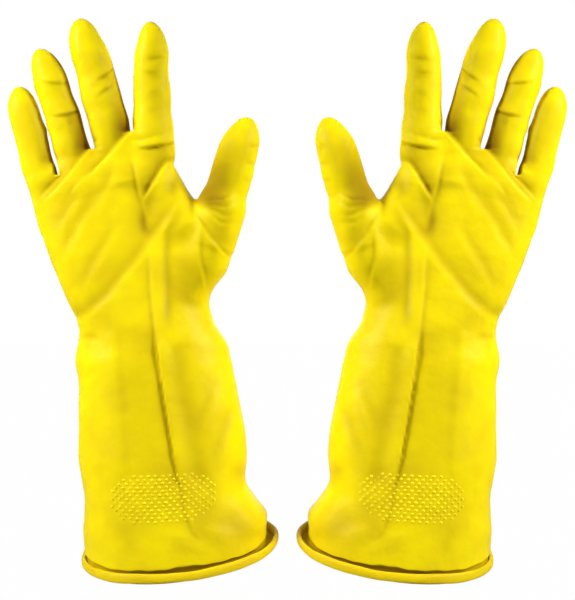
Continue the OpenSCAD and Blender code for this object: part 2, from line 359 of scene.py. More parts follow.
# The folds of the palm side, as seen from the front: ridge height, ridge width, valley depth, valley
# width, width of the step between them, then the points (x, z) of the step. The valley is on the left
# of the way. Where the step is 0, ridge and valley are both centred on the line.
# Each valley's depth also sets the painted shade laid into it.
PALM_FOLDS = (
    (0.8, 7.0, 2.4, 5.5, 2.4, (-55, 200), (-45.1, 211.8), (-39.6, 217.3), (-34.1, 223.3), (-27.5, 230.5),
     (-22, 237)),
    (0.6, 6.0, 1.8, 5.0, 2.4, (-78, 188), (-69.3, 197.5), (-63.8, 204), (-59.4, 209.5), (-55, 215),
     (-49.2, 221.1), (-43, 229)),
    (0.5, 4.0, 2.0, 4.0, 2.2, (-80, 190), (-73.7, 197.2), (-69.9, 201.3), (-66, 205.7), (-60, 213)),
    (0.4, 3.0, 0.6, 3.0, 3.0, (-66, 186), (-60, 196), (-54, 204), (-48, 212)),
    (0.3, 3.0, 0.9, 1.5, 1.2, (-32, 227.5), (-26, 224.8), (-20.9, 224.7), (-12.1, 227.2), (-5, 229.5)),
    (1.0, 3.2, 1.8, 4.5, 1.4, (4, 226.5), (-3.9, 223.9), (-9.9, 222.2), (-16.5, 220.9), (-27, 220.6)),
    (1.1, 3.5, 3.6, 4.5, 2.4, (-23, 188), (-19.3, 194.2), (-15.4, 201.3), (-11.6, 207.9), (-7.7, 212.6),
     (0, 216)),
    (0.0, 1.0, 1.6, 5.0, 0.0, (-14, 178), (-17.0, 189), (-15.0, 200)),
    (0.7, 1.6, 0.0, 1.0, 0.0, (-16.5, 172), (-18.6, 179), (-21.5, 188.7), (-22.6, 199)),
    (0.8, 3.0, 0.0, 1.0, 0.0, (-17.5, 170), (-12.8, 186), (-10, 199), (-6, 208)),
    (0.0, 1.0, 1.8, 3.6, 0.0, (-1.5, 188), (-3.6, 200), (-3, 208)),
    (0.9, 9.0, 1.6, 8.0, 7.0, (-62, 120), (-55, 126), (-40.3, 138.8), (-23.8, 159), (-14.5, 172.7),
     (-5.5, 182.8), (3.7, 194.7)),
    (1.0, 6.0, 1.2, 6.0, 5.0, (4, 193), (-3.2, 183), (-7.5, 173.6), (-8.2, 159), (-7.8, 144.3), (-7.5, 118)),
    (1.0, 4.0, 1.2, 5.0, 2.0, (8, 189), (10.5, 182), (14.7, 173.6), (23.8, 162.6), (30, 156)),
    (0.8, 4.0, 1.0, 4.0, 2.2, (11.9, 178), (11, 168), (11, 159), (14.7, 140.6)),
    (0.0, 1.0, 0.9, 7.0, 0.0, (7, 186), (4, 166), (2.5, 150), (3, 126)),
    (1.0, 6.0, 1.5, 5.0, 2.2, (-15.6, 169), (-19.2, 182.8), (-22.9, 197.4), (-25, 208.4), (-27.5, 220)),
    (0.0, 1.0, 1.3, 3.0, 0.0, (-17, 168), (-19, 176), (-20.5, 188)),
    (0.8, 7.0, 1.0, 6.0, 7.0, (-66, 158), (-54, 180), (-42, 202)),
    (0.7, 6.0, 0.9, 5.0, 7.0, (-70, 170), (-62, 186), (-52, 200)),
    (0.8, 6.0, 1.0, 6.0, 7.0, (-56, 140), (-45, 160), (-32, 182)),
    (0.7, 6.0, 1.0, 5.0, 6.0, (-50, 180), (-40, 200), (-34, 214)),
    (1.7, 4.0, 1.3, 4.0, 0.9, (1.2, 30), (-1, 41.4), (-3.2, 50), (-6.6, 71), (-9.4, 87.6), (-12.3, 108),
     (-14, 122)),
    (1.2, 5.0, 0.5, 5.0, 2.0, (14, 3), (6.6, 9), (3, 21), (-0.6, 44)),
    (1.1, 4.0, 1.0, 4.0, 2.8, (-10.4, 94), (-12.3, 108), (-14.4, 124), (-16.5, 144), (-17.4, 166)),
    (0.2, 1.5, 1.3, 0.8, 0.7, (-1.8, 41), (-2.4, 45), (-6.6, 68), (-9.6, 88), (-11.5, 100)),
    (0.8, 12.0, 0.45, 12.0, 5.0, (-36, 124), (-33.5, 90), (-32, 62), (-31, 34)),
    (0.0, 1.0, 1.4, 5.0, 0.0, (13, 28), (9, 52), (5, 75), (1, 93), (-2, 118)),
    (0.0, 1.0, 0.9, 8.0, 0.0, (2, 20), (20, 17), (40, 10), (52, 4)),
    (0.0, 1.0, 0.7, 11.0, 0.0, (-26, 126), (-22, 95), (-17, 60), (-14, 34)),
    (0.8, 7.0, 0.6, 6.0, 6.0, (18, 44), (25, 64), (31, 84)),
    (0.6, 6.0, 0.6, 6.0, 6.0, (10, 60), (16, 78), (23, 96)),
    (0.0, 1.0, 0.8, 5.0, 0.0, (22, 21.5), (32, 12), (42, 4)),
    (0.0, 1.0, 0.8, 4.0, 0.0, (4, 17), (13, 7), (26, -2)),
    (0.8, 4.0, 0.0, 1.0, 0.0, (-8, 14), (2, 4), (14, -4)),
    (0.0, 1.0, 0.5, 4.0, 0.0, (-33, 16), (-29, 4), (-24, -8)),
    (0.5, 3.0, 0.6, 2.5, 1.6, (11, 191.5), (22, 192), (33, 196.5)),
    (0.5, 3.0, 0.6, 2.5, 1.6, (11.5, 190), (24, 187.9), (35, 192)),
    (0.5, 3.0, 0.6, 2.5, 1.6, (12, 189), (24, 182.8), (34, 184.6)),
    (0.5, 3.0, 0.6, 2.5, 1.6, (12, 188), (22, 179), (32, 179)),
    (0.4, 2.0, 1.5, 1.8, 1.0, (-33, 267), (-37, 264.4), (-40.3, 261.6), (-48, 256.5)),
    (0.2, 2.0, 0.9, 1.6, 1.0, (-34, 257.5), (-40.3, 253.4), (-48, 248)),
    (0.5, 2.5, 0.8, 2.2, 1.2, (-58, 258.5), (-64, 256.4), (-70, 256.6), (-79, 258)),
    (0.0, 1.0, 0.3, 1.0, 0.0, (-52, 253), (-43, 256)),
    (0.8, 3.0, 1.3, 2.6, 1.3, (-50, 243), (-57.3, 241), (-62, 239.2), (-73, 238)),
    (0.0, 1.0, 0.5, 2.5, 0.0, (-61, 232), (-58, 238)),
    (0.0, 1.0, 0.3, 1.0, 0.0, (-25, 268), (-6, 270)),
    (0.0, 1.0, 0.3, 1.0, 0.0, (-25, 261), (-6, 263)),
    (0.0, 1.0, 0.7, 3.6, 0.0, (-13.5, 230), (-13.5, 262), (-13.8, 289)),
    (0.0, 1.0, 0.6, 1.6, 0.0, (-21, 270.5), (-14, 269.5), (-7, 270.5)),
    (0.0, 1.0, 0.7, 2.4, 0.0, (-21, 261.5), (-14, 260), (-8, 257.5)),
    (0.0, 1.0, 0.5, 2.0, 0.0, (-20, 250.5), (-8, 249.5)),
    (0.0, 1.0, 0.4, 2.4, 0.0, (-20, 241), (-8, 240)),
)
# The same where a fold goes round to the outline.
EDGE_FOLDS = (
    (1.7, 6.0, 0.0, 1.0, 0.0, (-4, 244), (-3, 206)),
    (0.9, 3.0, 0.0, 1.0, 0.0, (-76, 231), (-70, 231.5)),
    (0.0, 1.0, 0.6, 1.4, 0.0, (36, 222.5), (46, 219.5)),
    (0.0, 1.0, 0.6, 1.4, 0.0, (34, 213), (45, 210)),
    (0.0, 1.0, 0.5, 1.4, 0.0, (33, 204.3), (43, 201)),
    (0.0, 1.0, 0.4, 1.6, 0.0, (28, 196.5), (40, 192)),
    (0.0, 1.0, 1.0, 2.2, 0.0, (-58, 115.5), (-50, 116.5), (-42, 115)),
    (0.8, 2.5, 0.0, 1.0, 0.0, (-60, 123), (-50, 125)),
    (0.0, 1.0, 0.6, 3.0, 0.0, (-2, 138), (8, 134), (18, 136)),
    (0.0, 1.0, 1.3, 4.5, 0.0, (26, 45), (34, 42), (44, 41)),
)
# On the back of the hand: knuckles, wrist and forearm.
BACK_FOLDS = (
    (1.0, 6.0, 0.8, 5.0, 4.0, (-52, 150), (-44, 172), (-40, 196)),
    (0.9, 6.0, 0.8, 5.0, 4.0, (-30, 140), (-24, 168), (-20, 196)),
    (0.9, 4.0, 1.0, 3.0, 1.8, (8, 128), (-14, 132), (-44, 126)),
    (0.8, 4.0, 0.9, 3.0, 1.8, (12, 116), (-16, 120), (-50, 112)),
    (1.1, 4.0, 1.0, 3.5, 1.8, (-22, 12), (-20, 50), (-26, 92), (-30, 118)),
    (0.8, 6.0, 0.7, 6.0, 4.0, (26, 20), (20, 56), (10, 100)),
    (0.0, 1.0, 0.5, 1.2, 0.0, (-26, 250), (-5, 250)),
    (0.0, 1.0, 0.5, 1.2, 0.0, (-52, 250), (-36, 256)),
    (0.0, 1.0, 0.5, 1.2, 0.0, (-74, 236), (-58, 242)),
    (0.0, 1.0, 0.4, 1.2, 0.0, (-90, 223), (-76, 227)),
)

FOLD_SIZE = 0.72  # share of the listed heights and depths that is used


def fold(p, spec):
    """Displacement of one fold, and the share of it that lies in the valley, which is painted as shade, with a
    darker painted line along the step.
    """
    ridge, ridge_w, valley, valley_w, gap = spec[:5]
    pts = np.array(spec[5:], float)
    x = p[:, [0, 2]]
    reach = 3 * max(ridge_w, valley_w) + gap
    out, dark = np.zeros(len(p)), np.zeros(len(p))
    near = ((x > pts.min(0) - reach) & (x < pts.max(0) + reach)).all(1)
    q = x[near]
    best, side, along, start = np.full(len(q), 1e9), np.zeros(len(q)), np.zeros(len(q)), 0.0
    for a, b in zip(pts[:-1], pts[1:]):
        d = b - a
        length = float(np.hypot(*d))
        t = np.clip((q - a) @ d / length**2, 0, 1)
        off = q - a - t[:, None] * d
        dist = np.hypot(off[:, 0], off[:, 1])
        better = dist < best
        sign = np.sign(d[1] * off[:, 0] - d[0] * off[:, 1])
        best = np.where(better, dist, best)
        side = np.where(better, dist * sign, side)
        along = np.where(better, start + t * length, along)
        start += length
    fade = min(14.0, 0.45 * start)
    ends = ramp(along, -0.01, fade) * ramp(start - along, -0.01, fade)
    if gap > 0:
        over = ramp(side, -gap / 2, gap / 2)
        high = ridge * np.exp(-((np.maximum(side, 0) / (1.3 * ridge_w)) ** 2)) * over
        deep = valley * np.exp(-np.maximum(-side, 0) / valley_w) * (1 - over)
    else:
        high = ridge * np.exp(-((side / ridge_w) ** 2))
        deep = valley * np.exp(-((side / valley_w) ** 2))
    out[near] = FOLD_SIZE * (high - deep) * ends
    # painted shade: a dark line along the step, added to the valley's depth
    line = valley * np.exp(-(((side + 0.3 * gap) / (0.4 * gap + 0.4)) ** 2)) if gap else 0
    dark[near] = (1.0 * deep + 0.6 * line) * ends
    return out, dark


def soft_noise(p, scale, count=9, seed=3):
    """A gently rolling height between about -1 and 1."""
    rng = np.random.default_rng(seed)
    out = np.zeros(len(p))
    for _ in range(count):
        k = rng.normal(size=3)
        k *= 2 * math.pi / (scale * rng.uniform(0.7, 1.5)) / np.linalg.norm(k)
        out += np.sin(p @ k + rng.uniform(0, 6.28))
    return out / math.sqrt(count)


VIEW_FROM, VIEW_HEIGHT = 1100.0, 137.0  # the camera's distance and height, in mm


def as_seen(p):
    """Points moved to where they appear in front of the camera, on the plane through the gloves' middle."""
    share = VIEW_FROM / (VIEW_FROM + p[:, 1])
    eye = np.array([MIRROR_X, 0, VIEW_HEIGHT])
    return eye + (p - eye) * share[:, None]


def folds(p, n):
    """How far the skin stands out at each point p with normal n, and how much painted shade it gets from lying
    deep in a fold and over the grip patch.
    """
    out = 0.16 * soft_noise(p, 30) + 0.07 * soft_noise(p, 11, seed=5)
    out *= ramp(height(p), 4, 22)
    hollow = np.zeros(len(p))
    front = ramp(-n[:, 1], 0.05, 0.45)
    edge = ramp(-n[:, 1], -0.75, -0.2)
    back = ramp(n[:, 1], 0.1, 0.5)
    seen = as_seen(p)
    for specs, share in ((PALM_FOLDS, front), (EDGE_FOLDS, edge), (BACK_FOLDS, back)):
        for spec in specs:
            move, dark = fold(seen, spec)
            out += move * share
            hollow += dark * share
    # painted contact shadow over the grip patch, stronger towards +x
    lo, hi = box_mm("right_grip_studs")
    away = np.abs((seen[:, [0, 2]] - (lo + hi)[[0, 2]] / 2) / ((hi - lo)[[0, 2]] / 2 + 1.5))
    hollow += (0.15 + 0.3 * ramp(seen[:, 0], -32, 4)) * ramp((away**2.4).sum(1), 1.35, 0.5) * front
    return out, 0.55 * (1 - np.exp(-hollow * 0.5))


def painted_shelter_shade(p, n):
    """Painted shade at each point: 0 in the open, 1 deep between the fingers; darker where shut in, on each
    finger's side towards the thumb and on the thumb's side towards the fingers.
    """
    out = np.zeros(len(p))
    # painted occlusion: darker where other skin lies close in front of the point
    for reach, share in ((3.0, 0.3), (8.0, 0.4), (16.0, 0.3)):
        out += share * (1 - np.clip(field(p + n * reach) / reach, 0, 1))
    out = 0.8 * ramp(out, 0.15, 0.8) * (0.35 + 0.65 * ramp(n[:, 0], -0.5, 0.4))
    out *= 1 - 0.85 * ramp(p[:, 0], -12.0, -2.0) * ramp(p[:, 2], 160.0, 180.0)
    reach = np.stack([finger_field(p, f, 0.0) for f in FINGERS])
    nearest = reach.argmin(0)
    for k, f in enumerate(FINGERS):
        t = f.local(p)[0]
        near = 0 if f in (INDEX, THUMB) else ramp(t, 34.0, 4.0)
        # painted shade down each finger's side towards the thumb, and the thumb's side towards the fingers
        if f is THUMB:
            side = ramp(-n[:, 0], -0.5, 0.7)
        else:
            side = ramp(n[:, 0], 0.3 - 0.35 * near, 0.95 - 0.2 * near)
        share = {"index": 0.12, "thumb": 1.0, "little": 0.3}.get(f.name, 0.5) * (1 + 0.6 * near)
        share = share * ramp(reach[k], 7.0, 2.0) * ramp(n[:, 1], 0.6, 0.1)
        on = nearest == k
        along = ramp(t, (1.0 if f is THUMB else 0.8) * f.end, -5.0) * ramp(t, -8.0, 2.0)
        shade = share * side * along
        if f is THUMB:
            shade = 0.88 * (1 - np.exp(-shade * (1 + 0.5 * ramp(t, 34.0, 6.0)) / 0.5))
        far = 0.6 * ramp(t, 12.0, 34.0) if f is LITTLE else 0
        out = np.where(on, np.maximum(out * (1 - far), shade), out)
    return out


def on_skin(verts, rounds=2):
    for _ in range(rounds):
        g = gradient(field, verts)
        verts = verts - (field(verts) / np.maximum((g * g).sum(1), 0.2))[:, None] * g
    return verts


def base_skin():
    """The plain skin from just below the opening up, before any fold."""
    lo, hi = np.array([-100.0, -43.0, -24.0]), np.array([56.0, 43.0, 300.0])
    values, axes = grid_values(lo, hi, STEP)
    verts, quads = surface_net(values, axes, STEP)
    verts = relax(verts, quads, 3)
    keep = above_rim(verts)[quads].mean(1) > 0
    return compact(verts, quads[keep])


def compact(verts, quads):
    used = np.zeros(len(verts), bool)
    used[quads] = True
    number = np.cumsum(used) - 1
    return verts[used], number[quads]


# ---- Pieces: which body each part of the skin belongs to ----

def above_rim(p):
    """Height above the uneven line where the wall folds in over its gutter."""
    around = np.arctan2(p[..., 1], p[..., 0])
    uneven = 0.35 * np.sin(4 * around + 1) + 0.25 * np.sin(9 * around + 2) + 0.16 * np.sin(23 * around)
    return height(p) - 4.7 + 1.5 * ramp(p[..., 0], 0, 45) - uneven


WRIST_CUT = JOINTS["right_wrist_flex"][2] - 12
WRIST_TOP = JOINTS["right_wrist_flex"][2] + 12
ROOT_CUT = {"index": 5.0, "middle": 5.0, "ring": 3.0, "little": 1.5, "thumb": 3.0}


def cuts_of(f):
    """Where a finger's pieces begin along its centre line, each a little below its crease."""
    return [ROOT_CUT[f.name]] + [a - 6.5 for a in f.at[1:]]


def labels(verts):
    """A number for each point: 0 cuff, 1 hand, then each finger's lengths."""
    out = np.where(verts[:, 2] < WRIST_CUT, 0, 1)
    number = 2
    reach = np.stack([finger_field(verts, f, 0.0) for f in FINGERS])
    nearest = reach.argmin(0)
    for k, f in enumerate(FINGERS):
        t = f.local(verts)[0]
        for cut in cuts_of(f):
            out = np.where((nearest == k) & (reach[k] < 3.5) & (t > cut), number, out)
            number += 1
    return out


def planes():
    """(lower label, upper label, point, normal) for every cut."""
    out = [(0, 1, np.array([0, 0, WRIST_CUT]), np.array([0, 0, 1.0]))]
    number = 2
    for f in FINGERS:
        for k, cut in enumerate(cuts_of(f)):
            below = 1 if k == 0 else number - 1
            out.append((below, number, f.start + f.dir * cut, f.dir))
            number += 1
    return out


PIECES = ["cuff", "hand"] + [f"{f.name}_{part}" for f in FINGERS for part in f.parts]


def part_pieces(verts, quads, normals):
    """Labels the faces, and brings the seams between pieces into their planes."""
    at_face = labels(verts[quads].mean(1))
    for a, b, point, normal in planes():
        low, high = np.zeros(len(verts), bool), np.zeros(len(verts), bool)
        low[quads[at_face == a]] = True
        high[quads[at_face == b]] = True
        seam = low & high
        along = normal - normals[seam] * (normals[seam] @ normal)[:, None]
        size = np.maximum((along * normal).sum(1), 0.3)
        gap = (verts[seam] - point) @ normal
        verts[seam] -= along * (np.clip(gap, -1.5, 1.5) / size)[:, None]
    rim = open_edge_vertices(quads, len(verts))
    for _ in range(3):
        h = above_rim(verts[rim])
        verts[rim] -= h[:, None] * np.array([0, 0, 1.0])
        verts[rim] = on_skin(verts[rim], 1)
    return verts, at_face


def open_edges(quads):
    """Edges used by one face only, in that face's direction."""
    e = np.concatenate([quads[:, [0, 1]], quads[:, [1, 2]], quads[:, [2, 3]], quads[:, [3, 0]]])
    key = np.sort(e, axis=1)
    _, inverse, counts = np.unique(key, axis=0, return_inverse=True, return_counts=True)
    return e[counts[inverse.ravel()] == 1]


def open_edge_vertices(quads, n):
    mark = np.zeros(n, bool)
    mark[open_edges(quads)] = True
    return mark


def loops_of(edges):
    """Open edges chained into closed loops of vertices."""
    follow = {int(a): int(b) for a, b in edges}
    out = []
    while follow:
        start, at = next(iter(follow.items()))
        loop = [start]
        del follow[start]
        while at != start and at in follow:
            loop.append(at)
            at = follow.pop(at)
        out.append(loop)
    return out


# ---- Meshes ----

def wall(verts, quads, normals, near, far):
    """A closed wall between the skin moved in by near and by far, with a normal for each corner."""
    n = len(verts)
    both = np.concatenate([verts - normals * near, verts - normals * far])
    edges = open_edges(quads)
    sides = np.stack([edges[:, 1], edges[:, 0], edges[:, 0] + n, edges[:, 1] + n], 1)
    faces = np.concatenate([quads, quads[:, ::-1] + n, sides])
    a, b, c = both[sides[:, 0]], both[sides[:, 1]], both[sides[:, 2]]
    flat = np.cross(b - a, c - b)
    flat /= np.maximum(np.linalg.norm(flat, axis=1), 1e-9)[:, None]
    corner = np.concatenate([
        normals[quads].reshape(-1, 3), -normals[quads[:, ::-1]].reshape(-1, 3), np.repeat(flat, 4, axis=0)])
    return both, faces, corner


def add_piece(name, verts, faces, corner=None, painted_shade_tint=None):
    """Makes the right-hand piece and its mirror image for the left hand."""
    made = []
    for side in ("right", "left"):
        v, f, c = np.array(verts, float), np.array(faces), corner
        if side == "left":
            v = v * [-1, 1, 1] + [2 * MIRROR_X, 0, 0]
            f = f[:, ::-1]
            if c is not None:
                c = (c.reshape(len(f), -1, 3)[:, ::-1] * [-1, 1, 1]).reshape(-1, 3)
        mesh = bpy.data.meshes.new(f"{side}_{name}")
        mesh.from_pydata((v / MM).tolist(), [], f.tolist())
        mesh.polygons.foreach_set("use_smooth", np.ones(len(mesh.polygons), bool))
        rest = mesh.attributes.new("rest_mm", "FLOAT_VECTOR", "POINT")
        rest.data.foreach_set("vector", np.array(verts, np.float32).ravel())
        # the painted shade, stored on each point for the material
        shade = mesh.attributes.new("hollow", "FLOAT", "POINT")
        painted_brown = np.zeros(len(v)) if painted_shade_tint is None else painted_shade_tint
        shade.data.foreach_set("value", np.array(painted_brown, np.float32))
        if c is not None:
            mesh.normals_split_custom_set(c.tolist())
        obj = bpy.data.objects.new(f"{side}_{name}_skin", mesh)
        bpy.context.collection.objects.link(obj)
        made.append(obj)
    return made


def place(objs, name, material, body=None):
    """Gives the pair its material and its bodies."""
    for side, obj in zip(("right", "left"), objs):
        obj.data.materials.append(material)
        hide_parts(f"{side}_{name}")
        if body:
            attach(obj, f"{side}_{body}")


def across(objs, start, end):
    """Bakes each of the pair's transforms into its mesh; the span from start to end is mirrored for the left
    hand but not used, and nothing is bent.
    """
    for side, obj in zip(("right", "left"), objs):
        s, e = (np.array(p, float) for p in (start, end))
        if side == "left":
            s, e = (p * [-1, 1, 1] + [2 * MIRROR_X, 0, 0] for p in (s, e))
        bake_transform(obj)


# The gutter from the wall to the bead: share of the way down, millimetres inwards, share of the way out.
GUTTER = (
    (0.04, 0.25, 0), (0.1, 0.7, 0), (0.2, 1.1, 0), (0.34, 1.35, 0), (0.5, 1.3, 0), (0.66, 1.1, 0),
    (0.8, 0.7, 0), (0.92, 0.2, 0), (0.99, 0, 0.12), (1.0, 0, 0.35), (0.98, 0, 0.6), (0.93, 0, 0.85),
)


def extend_rim(verts, quads):
    """Folds the wall in, down and out into the bead."""
    loop = [l for l in loops_of(open_edges(quads)) if len(l) > 60]
    assert len(loop) == 1, [len(l) for l in loop]
    loop = np.array(loop[0])
    ring = verts[loop]
    out_dir, target = bead_line(ring)
    width = np.hypot(*(target - ring)[:, :2].T)
    rows, added, faces = [loop], [], []
    for down, inward, outward in GUTTER:
        row = ring + out_dir * (width * outward - inward)[:, None]
        row[:, 2] = ring[:, 2] + (target[:, 2] - BEAD["seat"] - ring[:, 2]) * down
        added.append(row)
        rows.append(np.arange(len(loop)) + len(verts) + len(loop) * (len(rows) - 1))
    for r0, r1 in zip(rows[:-1], rows[1:]):
        faces.append(np.stack([np.roll(r0, -1), r0, r1, np.roll(r1, -1)], 1))
    return np.concatenate([verts] + added), np.concatenate([quads] + faces)


# The bead's centre line, its half sizes, and how far below its middle the gutter meets it.
BEAD = {"centre": -0.2, "wide": 52.8, "deep": 38.4, "up": 1.0, "half_up": 2.5, "half_out": 1.35, "seat": 2.2}


def bead_line(points):
    """For points near the opening: the outward direction and the place on the bead's centre line."""
    angle = np.arctan2(points[:, 1] / BEAD["deep"], (points[:, 0] - BEAD["centre"]) / BEAD["wide"])
    x = BEAD["centre"] + BEAD["wide"] * np.cos(angle)
    y = BEAD["deep"] * np.sin(angle)
    flat = np.stack([x, y, np.zeros(len(x))], 1)
    flat[:, 2] = lift(flat) + BEAD["up"]
    out = (flat - points) * [1, 1, 0]
    out /= np.maximum(np.linalg.norm(out, axis=1), 1e-6)[:, None]
    return out, flat


def bead_mesh(around=260, sides=18):
    """The rolled edge: a tall rounded band just outside the wall."""
    a = np.linspace(0, 2 * math.pi, around, endpoint=False)
    wave = 0.3 * np.sin(3 * a + 0.6) + 0.2 * np.sin(7 * a + 2.0) + 0.08 * np.sin(15 * a)
    rows = []
    for k in range(sides):
        w = 2 * math.pi * k / sides
        out = BEAD["half_out"] * np.sign(math.cos(w)) * abs(math.cos(w)) ** 0.8
        up = BEAD["half_up"] * math.sin(w) * (1 + 0.05 * np.sin(5 * a))
        x = BEAD["centre"] + (BEAD["wide"] + out + wave * 0.5) * np.cos(a)
        y = (BEAD["deep"] + out + wave * 0.5) * np.sin(a)
        p = np.stack([x, y, np.zeros(around)], 1)
        p[:, 2] = SIDE_RISE * x + FRONT_DIP * y + BEAD["up"] + up + wave
        rows.append(p)
    verts = np.concatenate(rows)
    faces = []
    for k in range(sides):
        r0 = k * around + np.arange(around)
        r1 = ((k + 1) % sides) * around + np.arange(around)
        faces.append(np.stack([r0, np.roll(r0, -1), np.roll(r1, -1), r1], 1))
    return verts, np.concatenate(faces)


def stud_centres():
    """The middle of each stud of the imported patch."""
    src = frame["nodes"]["right_grip_studs"].data
    bm = bmesh.new()
    bm.from_mesh(src)
    bmesh.ops.remove_doubles(bm, verts=bm.verts, dist=1e-5)
    todo, out = set(bm.verts), []
    while todo:
        stack, group = [todo.pop()], []
        while stack:
            v = stack.pop()
            group.append(v)
            for e in v.link_edges:
                o = e.other_vert(v)
                if o in todo:
                    todo.remove(o)
                    stack.append(o)
        out.append(np.mean([np.array(v.co) for v in group], axis=0) * MM)
    bm.free()
    return np.array(sorted(out, key=lambda c: (round(c[2], 1), c[0])))


def stud_mesh(verts, normals):
    """A small rounded stud on the skin at each centre."""
    out_v, out_f = [], []
    front = np.where((normals[:, 1] < -0.2) & (verts[:, 2] < 60))[0]
    around, crown = 12, 0.61
    profile = ((1.0, -0.25), (0.9, 0.08), (0.72, 0.36), (0.4, 0.55))  # radius, height over the skin
    count = 0
    for c in stud_centres():
        flat = np.hypot(verts[front, 0] - c[0], verts[front, 2] - c[2])
        near = front[np.argsort(flat)[:6]]
        share = 1 / (0.05 + np.sort(flat)[:6])
        at = (verts[near] * share[:, None]).sum(0) / share.sum()
        n = unit(normals[near].sum(0))
        u = unit(np.cross(n, [0, 0, 1.0]))
        w = np.cross(n, u)
        ring = np.linspace(0, 2 * math.pi, around, endpoint=False)
        for r, up in profile:
            out_v.append(at + n * up + (np.cos(ring)[:, None] * u * r + np.sin(ring)[:, None] * w * r * 0.86))
        out_v.append((at + n * crown)[None])
        for k in range(len(profile) - 1):
            r0 = count + k * around + np.arange(around)
            out_f += np.stack([r0, r0 + around, np.roll(r0, -1) + around, np.roll(r0, -1)], 1).tolist()
        top, last = count + len(profile) * around, count + (len(profile) - 1) * around
        out_f += [[last + k, top, last + (k + 1) % around] for k in range(around)]
        out_f.append([count + k for k in range(around)])
        count += len(profile) * around + 1
    return np.concatenate(out_v), out_f


def build_gloves(rubber, flock):
    """The skin with its folds and gutter, cut into its pieces, and the lining of the cuff."""
    verts, quads = base_skin()
    normals = vertex_normals(verts, quads)
    verts, at_face = part_pieces(verts, quads, normals)
    normals = vertex_normals(verts, quads)
    out, hollow = folds(verts, normals)
    verts = verts + normals * out[:, None]
    n_wall = len(quads)
    n_verts = len(verts)
    verts, quads = extend_rim(verts, quads)
    at_face = np.concatenate([at_face, np.zeros(len(quads) - n_wall, int)])
    shade = [0.3, 0.65] + [0.8] * (len(GUTTER) - 3) + [0.6]  # painted shade of each row of the gutter, out to the bead
    deep = np.repeat(shade, (len(verts) - n_verts) // len(GUTTER))
    hollow = np.concatenate([hollow, deep])
    normals = vertex_normals(verts, quads)
    # painted shade from the folds, the gutter and the shut-in places, together
    hollow = np.clip(hollow + 0.95 * painted_shelter_shade(verts, normals), 0, 1)
    rim_x = verts[n_verts:, 0]
    # less painted shade at the gutter's +x and -x ends
    hollow[n_verts:] *= (1 - 0.65 * ramp(rim_x, 40, 50)) * (1 - 0.5 * ramp(-rim_x, 22, 48))
    done = {}
    for k, name in enumerate(PIECES):
        mine = quads[at_face == k]
        used = np.zeros(len(verts), bool)
        used[mine] = True
        number = np.cumsum(used) - 1
        v, q, n, h = verts[used], number[mine], normals[used], hollow[used]
        shell, faces, corner = wall(v, q, n, 0.0, WALL)
        objs = add_piece(name, shell, faces, corner, painted_shade_tint=np.concatenate([h, h]))
        place(objs, name, rubber, "cuff" if name == "cuff" else None)
        done[name] = objs
        if name == "cuff":
            lined = height(v) > LINING_FROM
            inner = q[lined[q].all(1)]
            keep = np.zeros(len(v), bool)
            keep[inner] = True
            renum = np.cumsum(keep) - 1
            shell, faces, corner = wall(v[keep], renum[inner], n[keep], WALL + LINING_NEAR, WALL + LINING_FAR)
            lining = add_piece("cuff_lining", shell, faces, corner)
            place(lining, "cuff_lining", flock, "cuff")
    return verts, normals, done


LONGEST_BEND = 13.0  # the most of a finger's length, in mm, given to across as one crease's span


def bend_pieces(done):
    """Hands each piece and the span above its lower cut to across, which only bakes the piece's transform."""
    axis = JOINTS["right_wrist_flex"]
    across(done["hand"], (axis[0], 0, WRIST_CUT), (axis[0], 0, WRIST_TOP))
    for f in FINGERS:
        cuts = cuts_of(f)
        for k, part in enumerate(f.parts):
            end = cuts[k] + LONGEST_BEND
            if k + 1 < len(cuts):
                end = min(end, cuts[k + 1])
            name = f"{f.name}_{part}"
            across(done[name], f.start + f.dir * cuts[k], f.start + f.dir * end)


# ---- Materials ----

def new_material(name):
    m = bpy.data.materials.new(name)
    m.use_nodes = True
    nodes, links = m.node_tree.nodes, m.node_tree.links
    return m, nodes, links, nodes["Principled BSDF"]


